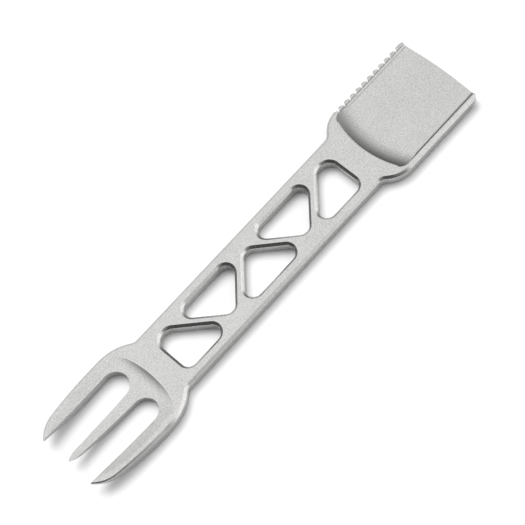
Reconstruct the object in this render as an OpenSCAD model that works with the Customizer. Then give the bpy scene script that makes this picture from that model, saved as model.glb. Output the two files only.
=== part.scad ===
/* [Handle] */
// Width of the straight handle
handle_width = 20; // [19:0.5:22]
// Thickness of the plate
plate_thickness = 3.8; // [3.6:0.1:4.2]
// Bevel along the upper edges
top_bevel = 0.75; // [0.5:0.05:0.9]
// Bevel along the lower edges
bottom_bevel = 0.45; // [0.3:0.05:0.6]

/* [Truss] */
// Length of one truss panel
panel_length = 14.4; // [14:0.1:14.8]
// Width of a rail between its upright faces
rail_width = 3.15; // [2.9:0.05:3.4]
// Width of a diagonal between its upright faces
diagonal_width = 2.55; // [2.3:0.05:2.8]
// Radius of the window corners
window_radius = 2.5; // [2.2:0.1:2.7]
// Radius of the high corner of both end windows
end_window_radius = 3.2; // [3:0.1:3.4]
// Distance from the middle of the handle to the end wall of the end windows
truss_half_length = 33.65; // [33:0.05:34.5]

/* [Fork] */
// Width across the fork and across the scoop
head_width = 27.8; // [27:0.1:29]
// Distance from the middle of the handle to the widest place of the fork
fork_widest = 47.5; // [46.5:0.5:48.5]
// Radius of the shoulder between the handle and the fork
fork_shoulder_radius = 15; // [14.5:0.5:16]
// Radius of the long outer side of the fork
fork_side_radius = 125; // [115:5:140]
// Length of the long outer side before it turns in to the tip
fork_side_length = 18.5; // [17.5:0.5:19]
// Radius of the outer side near the tip
tine_tip_radius = 9.5; // [9:0.25:10]
// Radius of the inside corner where a head joins the handle
corner_radius = 2.5; // [2:0.25:3]
// Distance from the middle of the handle to the middle of the round slot end
slot_root = 49.1; // [48.6:0.1:50]
// Half width of the middle tine at its root
middle_tine_half = 1.73; // [1.6:0.01:1.9]
// Half width of the middle tine where its tip begins
middle_tip_half = 1; // [0.85:0.05:1.2]
// Distance from the middle of the handle to the start of the middle tip
middle_tip_start = 68; // [67:0.25:68.5]
// Radius of both sides of the middle tip
middle_tip_radius = 7.3; // [6.5:0.1:8]
// Width of a tine slot at its root
slot_width = 7.6; // [7.2:0.1:8]
// Inward lean of an outer tine's inner side in degrees
tine_lean = 1; // [0:0.1:1.5]
// Depth of the dish at its lowest place
dish_depth = 1.16; // [1:0.02:1.16]
// Distance from the middle of the handle to the lowest place of the dish
dish_low = 45.3; // [44.5:0.1:46]
// Radius of the dish across the fork
dish_cross_radius = 67; // [64:1:68]
// Radius of the dish along the fork
dish_long_radius = 230; // [210:5:260]
// Radius of the sweep at the handle end of the dish
dish_end_radius = 8.9; // [8:0.1:10]
// Upward slope of the fork's upper edges in degrees
fork_slope = 2.3; // [1.8:0.1:2.6]
// Upward slope of the outer tines' bevels in degrees, so that they narrow towards the tips
tine_bevel_slope = 3.4; // [2.8:0.1:3.8]
// Distance from the middle of the handle to where the underside starts to rise
underside_start = 46; // [45:0.5:47]
// Radius of the underside below the tines
underside_radius = 90; // [85:1:100]

/* [Scoop] */
// Distance from the middle of the handle to the middle of the cutting edge
scoop_reach = 72.7; // [71.5:0.1:74]
// Distance from the middle of the handle to the straight sides of the scoop
scoop_shoulder = 45.5; // [45:0.25:46]
// Radius of the shoulder between the handle and the scoop
scoop_shoulder_radius = 9; // [8.5:0.25:9.5]
// Radius of the bowed cutting edge seen from above
edge_bow_radius = 140; // [120:5:180]
// Cut across the two outer corners of the cutting edge
edge_corner_cut = 0.7; // [0.4:0.05:0.8]
// Radius of the underside behind the cutting edge
edge_round_radius = 7.8; // [7:0.1:9]
// Depth of the scoop floor
pocket_depth = 1; // [0.8:0.05:1.2]
// Width of the scoop floor between the two rims
pocket_width = 25.2; // [24.8:0.1:25.4]
// Distance from the middle of the handle to the start of the scoop floor
pocket_start = 41.2; // [40.8:0.1:42]
// Radius of the scoop's near end seen from above
pocket_end_radius = 31; // [29:0.5:33]
// Radius of the two near corners seen from above
pocket_corner_radius = 3; // [2.5:0.1:3.4]
// Radius of the ramp at the scoop's near end
pocket_ramp_radius = 16.2; // [14:0.2:18]

/* [Teeth] */
// Number of notches
notch_count = 11; // [9:1:11]
// Distance between notches
notch_pitch = 2.31; // [2.2:0.01:2.35]
// Distance from the middle of the handle to the first notch
first_notch = 45.85; // [45.6:0.05:46.2]
// Depth of a notch
notch_depth = 1.45; // [1.2:0.05:1.5]
// Width of a notch at its mouth
notch_mouth = 1.67; // [1.4:0.01:1.8]
// Width of the ground bevel below the teeth
blade_bevel_width = 4.5; // [4:0.1:5]
// Height of the ground bevel below the teeth
blade_bevel_height = 2.2; // [1.9:0.05:2.3]

/* [Hidden] */
$fn = 96;
// Steps on the large circles
fine = 480;
// Notches that lie in the neck, whose end has to clear the foot of the ramp
NECK_NOTCHES = 2;
// Overrun of every cut past the face it opens
overrun = 1;
// Half of the widths that everything is laid out from
handle_half = handle_width / 2;
head_half = head_width / 2;
window_half = handle_half - rail_width;
top = plate_thickness;
root_two = sqrt(2);
// Corner circles of a window, each written as x, y and radius
inset = panel_length / 2 - (diagonal_width / 2 + window_radius) * root_two;
window_side = window_half - window_radius;
panel_corners = [[0, -inset, window_radius], [inset + window_side, window_side, window_radius],
    [-inset - window_side, window_side, window_radius]];
end_line = panel_length + panel_length / 2 + diagonal_width / 2 * root_two;
end_corners = [[window_radius - truss_half_length, -window_side, window_radius],
    [window_side - end_line - window_radius * root_two, -window_side, window_radius],
    [end_window_radius - truss_half_length,
        truss_half_length - end_line - end_window_radius * (root_two + 1), end_window_radius]];
// Inside corner circles where the heads join the handle, and where they touch the shoulders
corner_y = handle_half + corner_radius;
fork_centre_y = head_half - fork_shoulder_radius;
fork_corner_run = sqrt(pow(fork_shoulder_radius + corner_radius, 2) - pow(corner_y - fork_centre_y, 2));
fork_corner_x = fork_corner_run - fork_widest;
fork_part = fork_shoulder_radius / (fork_shoulder_radius + corner_radius);
fork_touch = [fork_corner_run * fork_part - fork_widest,
    fork_centre_y + (corner_y - fork_centre_y) * fork_part];
scoop_centre_y = head_half - scoop_shoulder_radius;
scoop_corner_run = sqrt(pow(scoop_shoulder_radius + corner_radius, 2) - pow(corner_y - scoop_centre_y, 2));
scoop_corner_x = scoop_shoulder - scoop_corner_run;
scoop_part = scoop_shoulder_radius / (scoop_shoulder_radius + corner_radius);
scoop_touch = [scoop_shoulder - scoop_corner_run * scoop_part,
    scoop_centre_y + (corner_y - scoop_centre_y) * scoop_part];
fork_turn = atan2(corner_y - fork_centre_y, fork_corner_run);
scoop_turn = atan2(corner_y - scoop_centre_y, scoop_corner_run);
// Circle that turns the outer side of the fork in to the tip
side_centre_y = head_half - fork_side_radius;
side_turn = asin(fork_side_length / fork_side_radius);
tip_centre = [-fork_widest - (fork_side_radius - tine_tip_radius) * sin(side_turn),
    side_centre_y + (fork_side_radius - tine_tip_radius) * cos(side_turn)];
side_end = fork_widest + fork_side_length;
// Slot between two tines
slot_centre_y = middle_tine_half + slot_width / 2;
slot_far_y = slot_centre_y + slot_width / 2;
// Tip of an outer tine, where its inner side meets the circle of its outer side
tip_offset = [-slot_root, slot_far_y] - tip_centre;
tip_near = tip_offset * [cos(tine_lean), sin(tine_lean)];
tip_run = tip_near + sqrt(pow(tip_near, 2) - tip_offset * tip_offset + pow(tine_tip_radius, 2));
fork_reach = slot_root + tip_run * cos(tine_lean);
// Turn of the barrel that reaches past the tips
dish_turn = asin((fork_reach - dish_low + overrun) / dish_long_radius);
// Tallest place a blank may reach before the fork's upper edges are cut to their slope
blank_top = top + fork_reach * tan(fork_slope);
// Scoop pocket
floor_height = top - pocket_depth;
pocket_half = pocket_width / 2;
pocket_axis = pocket_start + pocket_end_radius;
ramp_run = sqrt(pow(pocket_ramp_radius, 2) - pow(pocket_ramp_radius - pocket_depth, 2));
pocket_corner_reach = pocket_end_radius - pocket_corner_radius;
pocket_corner_y = pocket_half - pocket_corner_radius;
pocket_corner_turn = asin(pocket_corner_y / pocket_corner_reach);
pocket_corner_x = pocket_axis - pocket_corner_reach * cos(pocket_corner_turn);
edge_round_run = sqrt(pow(edge_round_radius, 2) - pow(edge_round_radius - floor_height, 2));
// Where one piece ends and the next begins
palm_end = truss_half_length - window_radius;
blade_begin = first_notch + notch_pitch / 2;
scoop_begin = first_notch + (NECK_NOTCHES - 0.5) * notch_pitch;
rim_line = pocket_half - pocket_depth;
// Outer reach of the boxes that pick out one piece
reach = scoop_reach + overrun;
wide = head_half + overrun;

// Section of a window's edge measured outward from its upright face
function edge_section(inner, face) = [[inner, -overrun], [face + bottom_bevel + overrun, -overrun],
    [face, bottom_bevel], [face, top - top_bevel], [face + top_bevel + overrun, top + overrun],
    [inner, top + overrun]];

// Direction square to the straight side between two corner circles
function side_angle(a, b) = atan2(b[1] - a[1], b[0] - a[0])
    - acos((a[2] - b[2]) / norm([b[0] - a[0], b[1] - a[1]]));

function touch(corner, angle) = [corner[0] + corner[2] * cos(angle), corner[1] + corner[2] * sin(angle)];

module window_cut(corners) {
    count = len(corners);
    angles = [for (i = [0:count - 1]) side_angle(corners[i], corners[(i + 1) % count])];
    outline = [for (i = [0:count - 1]) each [touch(corners[i], angles[i]),
        touch(corners[(i + 1) % count], angles[i])]];
    translate([0, 0, -overrun])
        linear_extrude(top + 2 * overrun)
            polygon(outline);
    for (i = [0:count - 1]) {
        far = touch(corners[(i + 1) % count], angles[i]);
        near = touch(corners[i], angles[i]);
        from = angles[(i + count - 1) % count];
        translate([corners[i][0], corners[i][1], 0])
            rotate([0, 0, from])
                rotate_extrude(angle = (angles[i] - from + 720) % 360)
                    polygon(edge_section(0, corners[i][2]));
        translate([far[0], far[1], 0])
            rotate([0, 0, angles[i]])
                rotate([90, 0, 0])
                    linear_extrude(norm(far - near))
                        polygon(edge_section(-window_radius, 0));
    }
}

module windows() {
    for (place = [-1, 1]) {
        translate([place * panel_length, 0, 0])
            window_cut(panel_corners);
        mirror([place < 0 ? 0 : 1, 0, 0])
            window_cut(end_corners);
    }
    mirror([0, 1, 0])
        window_cut(panel_corners);
}

// Section that bevels a side whose material lies inside it
function side_section(face) = [[face - top_bevel - overrun, top + overrun],
    [face + overrun, top - top_bevel - overrun], [face + overrun, top + overrun]];

function lower_section(face) = [[face - bottom_bevel - overrun, -overrun], [face + overrun, -overrun],
    [face + overrun, bottom_bevel + overrun]];

// Upper and lower sections that bevel a side whose material lies outside it
function inner_sections(face) = [[[face - overrun, top - top_bevel - overrun],
    [face + top_bevel + overrun, top + overrun], [face - overrun, top + overrun]],
    [[face - overrun, -overrun], [face + bottom_bevel + overrun, -overrun],
        [face - overrun, bottom_bevel + overrun]]];

module ring_bevel(centre, radius, from, turn) {
    translate([centre[0], centre[1], 0])
        rotate([0, 0, from])
            rotate_extrude(angle = turn)
                polygon(side_section(radius));
}

module lower_ring_bevel(centre, radius, from, turn) {
    translate([centre[0], centre[1], 0])
        rotate([0, 0, from])
            rotate_extrude(angle = turn)
                polygon(lower_section(radius));
}

module corner_bevel(x) {
    translate([x, corner_y, 0])
        rotate_extrude()
            for (section = inner_sections(corner_radius))
                polygon(section);
}

// A section in y and z drawn out along the handle
module along(x, far) {
    translate([x, 0, 0])
        rotate([90, 0, 90])
            linear_extrude(far - x)
                children();
}

module top_straight_bevel(x, far, side) {
    along(x, far)
        polygon(side_section(side));
}

module straight_bevel(x, far, side) {
    top_straight_bevel(x, far, side);
    along(x, far)
        polygon(lower_section(side));
}

module fork_shoulder_bevels() {
    straight_bevel(fork_corner_x, 0, handle_half);
    corner_bevel(fork_corner_x);
    ring_bevel([-fork_widest, fork_centre_y], fork_shoulder_radius, fork_turn, 90 - fork_turn);
    lower_ring_bevel([-fork_widest, fork_centre_y], fork_shoulder_radius, fork_turn, 90 - fork_turn);
    ring_bevel([-fork_widest, side_centre_y], fork_side_radius, 90, side_turn);
    lower_ring_bevel([-fork_widest, side_centre_y], fork_side_radius, 90, side_turn);
}

module scoop_shoulder_bevels() {
    straight_bevel(0, scoop_corner_x, handle_half);
    corner_bevel(scoop_corner_x);
    ring_bevel([scoop_shoulder, scoop_centre_y], scoop_shoulder_radius, 90, 90 - scoop_turn);
    lower_ring_bevel([scoop_shoulder, scoop_centre_y], scoop_shoulder_radius, 90, 90 - scoop_turn);
    straight_bevel(scoop_shoulder, reach, head_half);
}

// Bevels that follow the rising edges of the fork
module rising_bevels() {
    past = asin(slot_width / fork_side_radius);
    translate([-slot_root, 0, top])
        rotate([0, tine_bevel_slope, 0])
            translate([slot_root, 0, -top]) {
                ring_bevel([-fork_widest, side_centre_y], fork_side_radius, 90 - past, side_turn + 2 * past);
                ring_bevel(tip_centre, tine_tip_radius, 90 + side_turn - past, 90 + past);
            }
}

// Everything above the fork's sloping upper edges
module fork_top_cut() {
    translate([-slot_root, -wide, top])
        rotate([0, fork_slope, 0])
            translate([-fork_reach, 0, 0])
                cube([fork_reach, 2 * wide, blank_top]);
}

// Upper half of the outline, drawn a little past the middle so both halves overlap
module half_outline() {
    past = handle_half / 2;
    translate([-fork_widest, -past])
        square([fork_widest + scoop_shoulder, handle_half + past]);
    intersection() {
        translate([-fork_widest, fork_centre_y])
            circle(fork_shoulder_radius);
        translate([-reach, -past])
            square([reach, wide + past]);
    }
    intersection() {
        translate([-fork_widest, side_centre_y])
            circle(fork_side_radius, $fn = fine);
        translate([-side_end, -past])
            square([fork_side_length, wide + past]);
    }
    intersection() {
        translate(tip_centre)
            circle(tine_tip_radius);
        translate([-reach - tine_tip_radius, tip_centre[1]])
            square([reach, wide]);
    }
    inside_corner(fork_touch, fork_corner_x);
    inside_corner(scoop_touch, scoop_corner_x);
    translate([scoop_shoulder, scoop_centre_y])
        circle(scoop_shoulder_radius);
    translate([scoop_shoulder, -past])
        square([scoop_reach - scoop_shoulder, head_half + past]);
}

// Fill between the handle and a shoulder, hollowed by the corner circle
module inside_corner(shoulder_touch, x) {
    difference() {
        translate([min(shoulder_touch[0], x), 0])
            square([abs(x - shoulder_touch[0]), shoulder_touch[1]]);
        translate([x, corner_y])
            circle(corner_radius);
    }
}

module middle_outline() {
    polygon([[-slot_root, -middle_tine_half], [-slot_root, middle_tine_half],
        [-middle_tip_start, middle_tip_half], [-middle_tip_start, -middle_tip_half]]);
    intersection() {
        translate([-middle_tip_start, middle_tip_half - middle_tip_radius])
            circle(middle_tip_radius);
        translate([-middle_tip_start, middle_tip_radius - middle_tip_half])
            circle(middle_tip_radius);
        translate([-middle_tip_start - middle_tip_radius, -middle_tine_half])
            square([middle_tip_radius, 2 * middle_tine_half]);
    }
}

module slot_outline() {
    translate([-slot_root, slot_centre_y])
        circle(slot_width / 2);
    past = fork_reach + slot_width;
    polygon([[-slot_root, middle_tine_half], [-slot_root, slot_far_y],
        [-past, slot_far_y - (past - slot_root) * tan(tine_lean)], [-past, middle_tine_half]]);
}

module outline() {
    difference() {
        union() {
            half_outline();
            mirror([0, 1, 0])
                half_outline();
        }
        slot_outline();
        mirror([0, 1, 0])
            slot_outline();
    }
}

// Hollow of the fork: a shallow barrel towards the tips and a short sweep towards the handle
module dish_cut() {
    low = top - dish_depth;
    translate([-dish_low, 0, low + dish_long_radius])
        rotate([90, 90, 0])
            rotate_extrude(angle = -dish_turn, $fn = fine)
                translate([dish_long_radius - dish_cross_radius, 0])
                    circle(dish_cross_radius, $fn = fine);
    translate([-dish_low, 0, low + dish_cross_radius])
        rotate([0, 90, 0])
            rotate_extrude($fn = fine) {
                intersection() {
                    translate([dish_cross_radius - dish_end_radius, 0])
                        circle(dish_end_radius);
                    translate([dish_cross_radius - dish_end_radius, 0])
                        square(dish_end_radius + overrun);
                }
                translate([0, -overrun])
                    square([dish_cross_radius - dish_end_radius, dish_end_radius + overrun]);
            }
}

// Everything below the rising underside of the tines
module underside_cut() {
    difference() {
        translate([-underside_start - underside_radius, -wide, -overrun])
            cube([underside_radius, 2 * wide, underside_radius + overrun]);
        translate([-underside_start, wide + overrun, underside_radius])
            rotate([90, 0, 0])
                cylinder(r = underside_radius, h = 2 * (wide + overrun), $fn = fine);
    }
}

module pocket_outline() {
    difference() {
        intersection() {
            translate([pocket_axis, 0])
                circle(pocket_end_radius);
            translate([0, -pocket_half])
                square([reach, pocket_width]);
        }
        for (side = [-1, 1])
            mirror([0, side < 0 ? 1 : 0])
                difference() {
                    polygon([[pocket_corner_x, pocket_corner_y], [pocket_corner_x, wide],
                        [pocket_start - overrun, wide],
                        [pocket_axis - (pocket_end_radius + overrun) * cos(pocket_corner_turn),
                            (pocket_end_radius + overrun) * sin(pocket_corner_turn)]]);
                    translate([pocket_corner_x, pocket_corner_y])
                        circle(pocket_corner_radius);
                }
    }
}

// Room of the scoop: a ramp turned about an upright line, two rounded long sides and a rounded plan
module pocket_cut() {
    intersection() {
        translate([pocket_axis, 0, 0])
            rotate_extrude() {
                translate([0, floor_height])
                    square([pocket_end_radius - ramp_run, pocket_depth + overrun]);
                intersection() {
                    translate([pocket_end_radius - ramp_run, floor_height + pocket_ramp_radius])
                        circle(pocket_ramp_radius);
                    translate([pocket_end_radius - ramp_run, floor_height])
                        square([ramp_run + pocket_ramp_radius, pocket_depth + overrun]);
                }
            }
        along(0, reach) {
            translate([-rim_line, floor_height])
                square([2 * rim_line, pocket_depth + overrun]);
            translate([-pocket_half, top])
                square([pocket_width, overrun]);
            for (side = [-1, 1])
                translate([side * rim_line, top])
                    circle(pocket_depth);
        }
        linear_extrude(top + overrun)
            pocket_outline();
    }
}

// Bowed end of the scoop with its rounded underside
module edge_cut() {
    translate([scoop_reach - edge_bow_radius, 0, 0])
        rotate_extrude($fn = fine)
            union() {
                translate([edge_bow_radius, -overrun])
                    square([edge_bow_radius, top + 2 * overrun]);
                difference() {
                    translate([edge_bow_radius - edge_round_run, -overrun])
                        square([edge_bow_radius, floor_height + overrun]);
                    translate([edge_bow_radius - edge_round_run, edge_round_radius])
                        circle(edge_round_radius);
                }
            }
}

module edge_corner_cuts() {
    edge_corner_x = scoop_reach - edge_bow_radius + sqrt(pow(edge_bow_radius, 2) - pow(head_half, 2));
    for (side = [-1, 1])
        mirror([0, side < 0 ? 1 : 0, 0])
            translate([edge_corner_x, head_half, -overrun])
                rotate([0, 0, 45])
                    translate([-edge_corner_cut / root_two, -overrun - edge_corner_cut, 0])
                        cube([edge_corner_cut + overrun, 2 * (overrun + edge_corner_cut), top + 2 * overrun]);
}

// One upright V notch of the teeth
module notch(x) {
    notch_half = notch_mouth / 2 * (notch_depth + overrun) / notch_depth;
    translate([x, head_half - notch_depth, -overrun])
        linear_extrude(top + 2 * overrun)
            polygon([[0, 0], [notch_half, notch_depth + overrun], [-notch_half, notch_depth + overrun]]);
}

// Ground bevel below the teeth
module blade_bevel_cut() {
    bevel_rise = blade_bevel_height * (blade_bevel_width + overrun) / blade_bevel_width;
    along(blade_begin, reach)
        polygon([[head_half - blade_bevel_width, 0], [head_half - blade_bevel_width, -overrun],
            [head_half + overrun, -overrun], [head_half + overrun, bevel_rise]]);
}

// Rounded inner side of a rim
module rim_side_cut() {
    along(scoop_begin - overrun, reach)
        translate([rim_line, top])
            circle(pocket_depth);
}

module box(x, far, y, wide_y) {
    translate([x, y, -overrun])
        cube([far - x, wide_y - y, blank_top + 2 * overrun]);
}

// Moves a piece so the middle of the whole length lies over the origin
module centred() {
    translate([(fork_reach - scoop_reach) / 2, 0, 0])
        children();
}

// Plain slab of one piece before it is shaped
module slab(x, far, y, wide_y, height) {
    intersection() {
        linear_extrude(height)
            outline();
        box(x, far, y, wide_y);
    }
}

module outer_tine() {
    difference() {
        slab(-reach, -slot_root, slot_centre_y, wide, blank_top);
        fork_top_cut();
        rising_bevels();
        dish_cut();
        underside_cut();
    }
}

module serrated_side_tine() {
    color([0.62, 0.63, 0.64])
        centred()
            outer_tine();
}

module middle_tine() {
    color([0.66, 0.66, 0.67])
        centred()
            difference() {
                linear_extrude(blank_top)
                    middle_outline();
                dish_cut();
                underside_cut();
            }
}

module plain_side_tine() {
    color([0.6, 0.61, 0.63])
        centred()
            mirror([0, 1, 0])
                outer_tine();
}

module fork_palm() {
    color([0.64, 0.65, 0.66])
        centred()
            difference() {
                slab(-slot_root, -palm_end, -wide, wide, top);
                fork_shoulder_bevels();
                mirror([0, 1, 0])
                    fork_shoulder_bevels();
                window_cut(end_corners);
                dish_cut();
                underside_cut();
            }
}

module rail() {
    difference() {
        slab(-palm_end, palm_end, window_half, wide, top);
        straight_bevel(-palm_end - overrun, palm_end + overrun, handle_half);
        windows();
    }
}

module serrated_side_rail() {
    color([0.67, 0.68, 0.69])
        centred()
            rail();
}

module plain_side_rail() {
    color([0.63, 0.64, 0.66])
        centred()
            difference() {
                slab(-palm_end, palm_end, -wide, -window_half, top);
                mirror([0, 1, 0])
                    straight_bevel(-palm_end - overrun, palm_end + overrun, handle_half);
                windows();
            }
}

module diagonal(x, far) {
    difference() {
        slab(x, far, -window_half, window_half, top);
        windows();
    }
}

module first_diagonal() {
    color([0.6, 0.62, 0.64])
        centred()
            diagonal(-palm_end, -panel_length);
}

module second_diagonal() {
    color([0.65, 0.66, 0.68])
        centred()
            diagonal(-panel_length, 0);
}

module third_diagonal() {
    color([0.61, 0.63, 0.65])
        centred()
            diagonal(0, panel_length);
}

module fourth_diagonal() {
    color([0.66, 0.67, 0.68])
        centred()
            diagonal(panel_length, palm_end);
}

module scoop_neck() {
    color([0.64, 0.65, 0.67])
        centred()
            difference() {
                slab(palm_end, scoop_begin, -wide, wide, top);
                scoop_shoulder_bevels();
                mirror([0, 1, 0])
                    scoop_shoulder_bevels();
                mirror([1, 0, 0])
                    window_cut(end_corners);
                pocket_cut();
                blade_bevel_cut();
                for (i = [0:NECK_NOTCHES - 1])
                    notch(first_notch + i * notch_pitch);
            }
}

module scoop_floor() {
    color([0.62, 0.62, 0.63])
        centred()
            difference() {
                slab(scoop_begin, reach, -rim_line, rim_line, floor_height);
                edge_cut();
                blade_bevel_cut();
            }
}

module rim() {
    difference() {
        slab(scoop_begin, reach, rim_line, wide, top);
        rim_side_cut();
        edge_cut();
        edge_corner_cuts();
        children();
    }
}

module serrated_rim() {
    color([0.68, 0.69, 0.7])
        centred()
            rim() {
                top_straight_bevel(scoop_shoulder, reach, head_half);
                blade_bevel_cut();
                for (i = [NECK_NOTCHES:notch_count - 1])
                    notch(first_notch + i * notch_pitch);
            }
}

module plain_rim() {
    color([0.65, 0.67, 0.69])
        centred()
            mirror([0, 1, 0])
                rim()
                    straight_bevel(scoop_shoulder, reach, head_half);
}

serrated_side_tine();
middle_tine();
plain_side_tine();
fork_palm();
serrated_side_rail();
plain_side_rail();
first_diagonal();
second_diagonal();
third_diagonal();
fourth_diagonal();
scoop_neck();
scoop_floor();
serrated_rim();
plain_rim();
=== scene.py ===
import math

import bmesh
import bpy
from mathutils import Matrix, Vector
from mathutils.bvhtree import BVHTree


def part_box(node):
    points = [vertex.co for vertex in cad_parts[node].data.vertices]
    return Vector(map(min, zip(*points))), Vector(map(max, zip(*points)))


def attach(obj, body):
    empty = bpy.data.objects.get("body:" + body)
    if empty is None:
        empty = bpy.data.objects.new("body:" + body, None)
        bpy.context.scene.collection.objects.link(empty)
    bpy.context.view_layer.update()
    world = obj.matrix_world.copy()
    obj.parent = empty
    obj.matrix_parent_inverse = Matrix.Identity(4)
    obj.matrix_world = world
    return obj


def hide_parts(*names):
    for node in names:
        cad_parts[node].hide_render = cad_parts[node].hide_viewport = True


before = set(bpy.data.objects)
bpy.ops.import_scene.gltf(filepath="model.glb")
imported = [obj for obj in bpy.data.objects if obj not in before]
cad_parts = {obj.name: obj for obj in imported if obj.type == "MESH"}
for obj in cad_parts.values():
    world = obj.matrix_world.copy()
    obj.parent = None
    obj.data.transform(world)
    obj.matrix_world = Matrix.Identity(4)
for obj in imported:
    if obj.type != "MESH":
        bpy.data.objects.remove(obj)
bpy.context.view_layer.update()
scene = bpy.context.scene
scene.view_settings.view_transform = "Standard"
print("spork frame loaded with", len(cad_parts), "pieces")


class Wire:
    # one socket of a node tree; sums on wires add Math nodes
    def __init__(self, bench, socket):
        self.bench = bench
        self.socket = socket

    def mathNode(self, operation, first, second):
        return self.bench.node("ShaderNodeMath", {"operation": operation}, {0: first, 1: second})

    def __add__(self, other):
        return self.mathNode("ADD", self, other)

    def __radd__(self, other):
        return self.mathNode("ADD", other, self)

    def __sub__(self, other):
        return self.mathNode("SUBTRACT", self, other)

    def __rsub__(self, other):
        return self.mathNode("SUBTRACT", other, self)

    def __mul__(self, other):
        return self.mathNode("MULTIPLY", self, other)

    def __rmul__(self, other):
        return self.mathNode("MULTIPLY", other, self)


class Bench:
    # a node tree being wired up
    def __init__(self, owner):
        owner.use_nodes = True
        self.tree = owner.node_tree
        self.tree.nodes.clear()

    def node(self, kind, settings=None, inputs=None, output=0):
        made = self.tree.nodes.new(kind)
        for name, value in (settings or {}).items():
            setattr(made, name, value)
        for name, value in (inputs or {}).items():
            if isinstance(value, Wire):
                self.tree.links.new(value.socket, made.inputs[name])
            else:
                made.inputs[name].default_value = value
        return Wire(self, made.outputs[output]) if made.outputs else made

    def blendOf(self, factor, low, high):
        # colour mix, low where the factor is 0
        return self.node("ShaderNodeMix", {"data_type": "RGBA"}, {0: factor, 6: low, 7: high}, output=2)

    def rise(self, value, low, high):
        # 0 below low, 1 above high, smooth between
        return self.node("ShaderNodeMapRange", {"interpolation_type": "SMOOTHSTEP"},
                         {"Value": value, "From Min": low, "From Max": high})


photoCamera = {
    "place": (-0.089152, -0.208563, 0.458167),
    "right": (0.6732153, -0.71377972, -0.19313124),
    "up": (0.71821333, 0.56904657, 0.40044427),
    "back": (-0.17592833, -0.40829464, 0.89573697),
    "sensor": 36.0,
    "lens": 132.91,
    "nearest": 0.01,
}


def setCamera(spec):
    data = bpy.data.cameras.new("photoCamera")
    data.sensor_fit = "HORIZONTAL"
    data.sensor_width = spec["sensor"]
    data.lens = spec["lens"]
    data.clip_start = spec["nearest"]
    camera = bpy.data.objects.new("photoCamera", data)
    scene.collection.objects.link(camera)
    axes = Matrix((spec["right"], spec["up"], spec["back"])).transposed()
    camera.matrix_world = Matrix.Translation(Vector(spec["place"])) @ axes.to_4x4()
    scene.camera = camera


setCamera(photoCamera)
print("camera set")

white = (1.0, 1.0, 1.0, 1.0)
studioDome = {
    "horizonLight": 0.02,
    "patches": {    # way to the middle, cosines at the edge and inside, light
        "overhead": ((-0.02, 0.36, 0.93), (0.64, 1.0), 1.41),    # leans to the serrated side
        "plainSide": ((0.80, -0.55, 0.25), (0.52, 0.90), 1.75),  # stronger towards the scoop
    },
    "mirrored": {   # pale backdrop that shows only in the metal
        "behindCamera": ((-0.10, -0.64, 0.76), (0.86, 1.0), 0.65),
        "serratedSide": ((-0.45, 0.80, 0.40), (0.84, 1.0), 0.45),
        "allRound": ((0.0, 0.0, 1.0), (-0.1, 0.0), 0.09),
    },
}


def setDome(spec):
    world = bpy.data.worlds.new("studioDome")
    scene.world = world
    bench = Bench(world)
    way = bench.node("ShaderNodeTexCoord", output="Generated")

    def lightOf(patches):
        light = 0.0
        for middle, (edge, inside), level in patches.values():
            near = bench.node("ShaderNodeVectorMath", {"operation": "DOT_PRODUCT"},
                              {0: way, 1: Vector(middle).normalized()}, output="Value")
            light = light + bench.rise(near, edge, inside) * level
        return light

    inMirror = bench.node("ShaderNodeLightPath", output="Is Glossy Ray")
    light = spec["horizonLight"] + lightOf(spec["patches"]) + inMirror * lightOf(spec["mirrored"])
    sky = bench.node("ShaderNodeBackground", None, {"Color": white, "Strength": light})
    bench.node("ShaderNodeOutputWorld", None, {"Surface": sky})


setDome(studioDome)

softLamp = {
    "way": (0.14, 0.50, 0.86),        # from the serrated side, so the shadow falls on the plain side
    "spread": 46.0,                   # degrees
    "strength": 1.95,
}


def setLamp(spec):
    data = bpy.data.lights.new("softLamp", "SUN")
    data.angle = math.radians(spec["spread"])
    data.energy = spec["strength"]
    lamp = bpy.data.objects.new("softLamp", data)
    scene.collection.objects.link(lamp)
    lamp.rotation_euler = Vector(spec["way"]).to_track_quat("Z", "Y").to_euler()
    lamp.visible_glossy = False       # the metal already mirrors the bright overhead part


setLamp(softLamp)
print("dome and lamp set")

whiteFloor = {
    "half": 30.0,
    "colour": (0.90, 0.90, 0.90, 1.0),
    "lift": 0.02,                     # brings the lit floor to white
}


def makeFloor(spec):
    half = spec["half"]
    corners = [(-half, -half, 0), (half, -half, 0), (half, half, 0), (-half, half, 0)]
    mesh = bpy.data.meshes.new("whiteFloor")
    mesh.from_pydata(corners, [], [(0, 1, 2, 3)])
    floor = bpy.data.objects.new("whiteFloor", mesh)
    scene.collection.objects.link(floor)
    material = bpy.data.materials.new("whiteFloor")
    bench = Bench(material)
    paper = bench.node("ShaderNodeBsdfDiffuse", None, {"Color": spec["colour"]})
    toCamera, inMirror, throughGlass = [bench.node("ShaderNodeLightPath", output=kind) for kind in (
        "Is Camera Ray", "Is Glossy Ray", "Is Transmission Ray")]
    seen = bench.node("ShaderNodeMath", {"operation": "MAXIMUM"}, {0: toCamera + inMirror, 1: throughGlass})
    glow = bench.node("ShaderNodeEmission", None, {"Color": white, "Strength": seen * spec["lift"]})
    both = bench.node("ShaderNodeAddShader", None, {0: paper, 1: glow})
    bench.node("ShaderNodeOutputMaterial", None, {"Surface": both})
    mesh.materials.append(material)


makeFloor(whiteFloor)
print("floor set")

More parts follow.
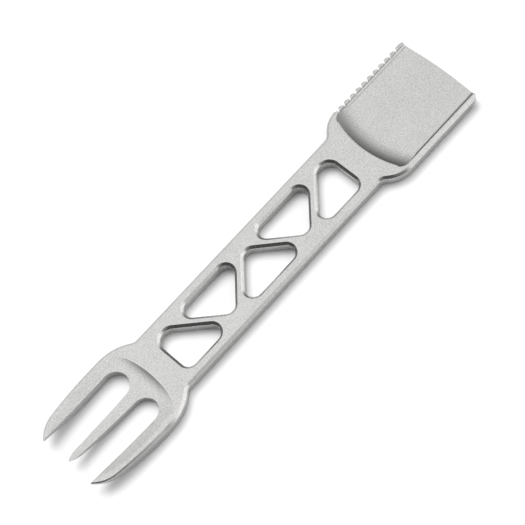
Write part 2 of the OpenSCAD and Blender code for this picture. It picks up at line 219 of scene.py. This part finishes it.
blastedMetal = {
    "dull": (0.385, 0.382, 0.377, 1.0),
    "bright": (0.530, 0.527, 0.522, 1.0),
    "grain": (3300.0, 2.0, 0.6),      # scale, detail and roughness; blasting marks of about 0.3 mm
    "grainRise": (0.28, 0.72),
    "cloud": (140.0, 3.0, 0.5),       # soft patches of about 7 mm
    "cloudRise": (0.3, 0.7),
    "cloudShare": 0.1,
    "turned": (0.6, 0.5, 0.4),        # keeps flat faces off the planes of the noise
    "roughLow": 0.20,
    "roughHigh": 0.31,
    "dent": 0.000006,
    "dentStrength": 0.35,
    "rubbed": (0.640, 0.638, 0.634, 1.0),  # painted highlight along the rounded edges, partly real wear from handling
    "rubbedShare": 0.75,
    "rubbedLeast": 0.55,              # what the dull spots keep of it
}


def makeBlastedMetal(spec):
    material = bpy.data.materials.new("blastedMetal")
    bench = Bench(material)
    place = bench.node("ShaderNodeTexCoord", output="Object")
    place = bench.node("ShaderNodeMapping", None, {"Vector": place, "Rotation": spec["turned"]})

    def noise(scale, detail, roughness):
        return bench.node("ShaderNodeTexNoise", None, {
            "Vector": place, "Scale": scale, "Detail": detail, "Roughness": roughness})

    grain = noise(*spec["grain"])
    speck = bench.rise(grain, *spec["grainRise"])
    cloud = bench.rise(noise(*spec["cloud"]), *spec["cloudRise"])
    shade = speck * (1 - spec["cloudShare"]) + cloud * spec["cloudShare"]
    # rounded edge faces get a lighter colour: a painted highlight, partly real wear
    edge = bench.node("ShaderNodeAttribute", {"attribute_name": "rubbed"}, output="Fac")
    rubbed = edge * spec["rubbedShare"] * (spec["rubbedLeast"] + shade * (1 - spec["rubbedLeast"]))
    colour = bench.blendOf(rubbed, bench.blendOf(shade, spec["dull"], spec["bright"]), spec["rubbed"])
    rough = spec["roughHigh"] - shade * (spec["roughHigh"] - spec["roughLow"])
    dents = bench.node("ShaderNodeBump", None, {
        "Strength": spec["dentStrength"], "Distance": spec["dent"], "Height": grain})
    metal = bench.node("ShaderNodeBsdfPrincipled", None,
                       {"Base Color": colour, "Metallic": 1.0, "Roughness": rough, "Normal": dents})
    bench.node("ShaderNodeOutputMaterial", None, {"Surface": metal})
    return material


metal = makeBlastedMetal(blastedMetal)
print("blasted metal mixed")

softEdges = {
    "round": 0.00009,                 # blasting takes every edge down by about 0.1 mm
    "steps": 2,
    "profile": 0.5,
    "sharp": 20.0,                    # degrees between faces from which an edge is rounded
    "flat": 0.2,                      # degrees up to which faces are joined first
    "weld": 1e-7,
    "tiny": 1e-6,
    "probe": 0.00005,                 # how far from an edge metal is looked for
    "probes": 16,
    "rayWay": (0.3127, 0.4711, 0.8248),
    "rayStep": 1e-8,
    "stray": 0.00005,                 # points that a round throws further off go back to the surface
    "smooth": 32.0,                   # degrees up to which faces shade as one surface
    "match": 5e-6,                    # corners this close are one corner
}


def solidOf(node):
    # what is needed to ask whether a point lies in this solid
    corners = [vertex.co.copy() for vertex in node.data.vertices]
    faces = [tuple(face.vertices) for face in node.data.polygons]
    low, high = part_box(node.name)
    return low, high, BVHTree.FromPolygons(corners, faces)


def inMetal(point, solids, spec):
    # a ray from inside a solid crosses its surface an odd number of times
    way = Vector(spec["rayWay"])
    for low, high, tree in solids:
        if any(point[k] < low[k] or point[k] > high[k] for k in range(3)):
            continue
        start, crossings = point.copy(), 0
        while True:
            hit = tree.ray_cast(start, way)[0]
            if hit is None:
                break
            crossings += 1
            start = hit + way * spec["rayStep"]
        if crossings % 2:
            return True
    return False


def isRealEdge(edge, solids, spec):
    # an outer edge of the whole part, not a line where two of its pieces meet
    a, b = edge.verts[0].co, edge.verts[1].co
    if (b - a).length < spec["weld"]:
        return False
    along = (b - a).normalized()
    across = along.orthogonal().normalized()
    upright = along.cross(across)
    full = 0
    for k in range(spec["probes"]):
        angle = (k + 0.5) * 2 * math.pi / spec["probes"]
        side = across * math.cos(angle) + upright * math.sin(angle)
        full += inMetal((a + b) / 2 + side * spec["probe"], solids, spec)
    return full <= spec["probes"] / 2 - 1


def roundEdges(shape, solids, spec):
    rubbed = shape.faces.layers.float.new("rubbed")
    bmesh.ops.remove_doubles(shape, verts=shape.verts, dist=spec["weld"])
    # folds of no thickness are left with open edges by the weld
    fins = [face for face in shape.faces if any(edge.is_boundary for edge in face.edges)]
    bmesh.ops.delete(shape, geom=fins, context="FACES")
    bmesh.ops.dissolve_limit(shape, angle_limit=math.radians(spec["flat"]), verts=shape.verts, edges=shape.edges)
    limit = math.radians(spec["sharp"])
    sharp = [edge for edge in shape.edges if len(edge.link_faces) == 2 and edge.calc_face_angle(0.0) > limit]
    real = [edge for edge in sharp if isRealEdge(edge, solids, spec)]
    skin = BVHTree.FromBMesh(shape)
    rounds = bmesh.ops.bevel(shape, geom=real, offset=spec["round"], offset_type="OFFSET", segments=spec["steps"],
                             profile=spec["profile"], affect="EDGES", clamp_overlap=False)
    # marks the rounded faces for the lighter edge colour, a painted highlight and partly wear
    for face in rounds["faces"]:
        face[rubbed] = 1.0
    for vertex in shape.verts:
        near, _, _, away = skin.find_nearest(vertex.co)
        if away > spec["stray"]:
            vertex.co = near
    bmesh.ops.dissolve_degenerate(shape, dist=spec["tiny"], edges=shape.edges)
    for face in shape.faces:
        face.smooth = True
    return len(real), len(sharp)


def softenPiece(node, solids, spec):
    shape = bmesh.new()
    shape.from_mesh(node.data)
    rounded, sharp = roundEdges(shape, solids, spec)
    first, *others = node.name.split("_")
    name = first + "".join(word.capitalize() for word in others)
    mesh = bpy.data.meshes.new(name)
    shape.to_mesh(mesh)
    shape.free()
    mesh.materials.append(metal)
    piece = bpy.data.objects.new(name, mesh)
    scene.collection.objects.link(piece)
    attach(piece, "root")
    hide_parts(node.name)
    print(name, "edges rounded:", rounded, "of", sharp)
    return piece


def shadeAsOne(pieces, spec):
    # normals are averaged over all the pieces, so that no line shows where two of them meet
    def spot(point):
        return tuple(round(value / spec["match"]) for value in point)

    limit = math.cos(math.radians(spec["smooth"]))
    around = {}
    for piece in pieces:
        for face in piece.data.polygons:
            for index in face.vertices:
                place = spot(piece.data.vertices[index].co)
                around.setdefault(place, []).append((face.normal.copy(), face.area))
    for piece in pieces:
        mesh = piece.data
        normals = [Vector() for loop in mesh.loops]
        for face in mesh.polygons:
            for corner in face.loop_indices:
                place = spot(mesh.vertices[mesh.loops[corner].vertex_index].co)
                near = [way * area for way, area in around[place] if way.dot(face.normal) > limit]
                normals[corner] = sum(near, Vector()).normalized()
        mesh.normals_split_custom_set(normals)


nodes = list(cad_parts.values())
solids = [solidOf(node) for node in nodes]
pieces = [softenPiece(node, solids, softEdges) for node in nodes]
shadeAsOne(pieces, softEdges)
print("edges rounded on", len(pieces), "pieces")
